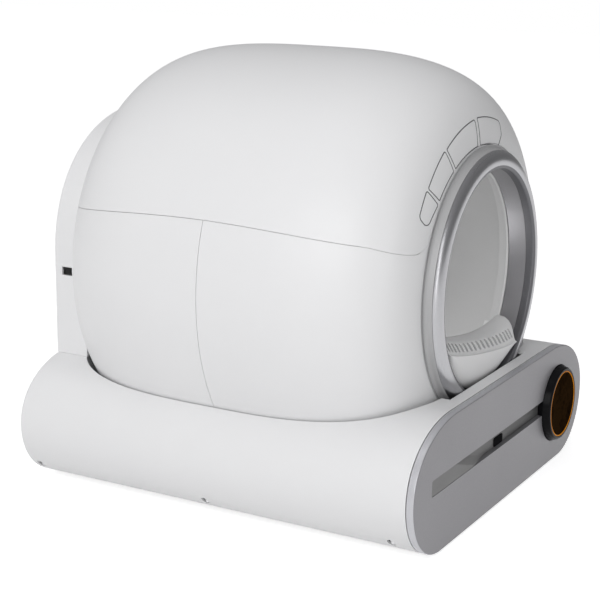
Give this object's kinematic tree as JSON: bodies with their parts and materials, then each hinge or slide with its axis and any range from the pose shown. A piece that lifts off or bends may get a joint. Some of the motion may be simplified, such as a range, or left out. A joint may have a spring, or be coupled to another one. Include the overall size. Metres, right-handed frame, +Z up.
{
  "type": "self cleaning litter box",
  "caption": "Self cleaning litter box: barrel housing on a wide rounded base, turning drum with sifting screen, sliding waste drawer, lift-off cover and round control disc",
  "frame": {"origin": "centre of the footprint on the floor", "axes": "+Y to the rear tower, away from the entrance, +X to the side with the control disc (the user's right), +Z up"},
  "size_m": [0.546, 0.5654, 0.5555],
  "materials": {
    "shell_white": "satin white moulded plastic",
    "plate_silver": "fine silver-grey metallic paint",
    "strip_grey": "smooth dark grey plastic",
    "ring_metal": "satin silver metallic coating",
    "drum_grey": "pale grey plastic, finely grained",
    "gloss_black": "glossy black plastic",
    "glow_orange": "translucent orange light guide",
    "frame_plastic": "plain dark grey plastic",
    "bin_plastic": "smooth grey plastic",
    "gear_nylon": "natural nylon",
    "steel": "plain turned steel",
    "bronze": "sintered bronze",
    "rubber": "soft black rubber",
    "board_green": "green coated circuit board"
  },
  "bodies": {
    "base": {"base_shell": "shell_white", "base_pan": "frame_plastic", "base_screw_front_left": "steel", "base_screw_front_right": "steel", "base_screw_middle_left": "steel", "base_screw_middle_right": "steel", "base_screw_rear_left": "steel", "base_screw_rear_right": "steel", "foot_front_left": "rubber", "foot_front_right": "rubber", "foot_rear_left": "rubber", "foot_rear_right": "rubber", "front_frame": "frame_plastic", "deck": "frame_plastic", "bay_left_wall": "frame_plastic", "bay_right_wall": "frame_plastic", "bay_rear_wall": "frame_plastic", "runner_left": "steel", "runner_right": "steel", "control_pod": "gloss_black", "glow_ring": "glow_orange", "display_lens": "gloss_black", "control_board": "board_green", "power_inlet": "gloss_black", "lower_front_shell": "shell_white", "lower_rear_shell": "shell_white", "entrance_ring": "ring_metal", "entrance_collar": "shell_white", "entrance_sleeve": "ring_metal", "bearing_housing": "frame_plastic", "hub_bush": "bronze", "gearbox": "frame_plastic", "gear_motor": "steel", "roller_pin_left": "steel", "roller_pin_right": "steel", "roller_bracket_left": "frame_plastic", "roller_bracket_right": "frame_plastic", "tower_shell": "shell_white", "tower_plate": "frame_plastic", "tower_cover": "shell_white", "tower_screw_left": "steel", "tower_screw_right": "steel"},
    "drum": {"drum_front": "drum_grey", "drum_rear": "drum_grey", "entry_sill": "shell_white", "sifting_screen": "drum_grey", "ring_gear": "gear_nylon", "drum_hub": "gear_nylon", "hub_shaft": "steel"},
    "pinion_body": {"pinion": "gear_nylon", "pinion_shaft": "steel"},
    "roller_left_body": {"roller_left": "rubber"},
    "roller_right_body": {"roller_right": "rubber"},
    "drawer": {"drawer_front": "plate_silver", "grip_strip": "strip_grey", "sensor_window": "gloss_black", "drawer_bin": "bin_plastic", "bag_frame": "frame_plastic"},
    "cover": {"top_cover": "shell_white"}
  },
  "joints": [
    {"name": "drum_turn", "type": "hinge", "parent": "base", "child": "drum", "pos_m": [0, 0.2, 0.2825], "axis": [0, 1, 0], "continuous": true},
    {"name": "pinion_turn", "type": "hinge", "parent": "base", "child": "pinion_body", "pos_m": [0.144, 0.2, 0.2825], "axis": [0, 1, 0], "continuous": true},
    {"name": "roller_left_turn", "type": "hinge", "parent": "base", "child": "roller_left_body", "pos_m": [-0.16148, -0.159, 0.1371], "axis": [0, 1, 0], "continuous": true},
    {"name": "roller_right_turn", "type": "hinge", "parent": "base", "child": "roller_right_body", "pos_m": [0.16148, -0.159, 0.1371], "axis": [0, 1, 0], "continuous": true},
    {"name": "drawer_slide", "type": "slide", "parent": "base", "child": "drawer", "axis": [0, -1, 0], "range_m": [0, 0.36]},
    {"name": "cover_lift", "type": "slide", "parent": "base", "child": "cover", "axis": [0, -0.2425, 0.9701], "range_m": [0, 0.25]}
  ],
  "couplings": [
    {"joint": "pinion_turn", "follows": "drum_turn", "ratio": -5},
    {"joint": "roller_left_turn", "follows": "drum_turn", "ratio": -14.5},
    {"joint": "roller_right_turn", "follows": "drum_turn", "ratio": -14.5}
  ]
}
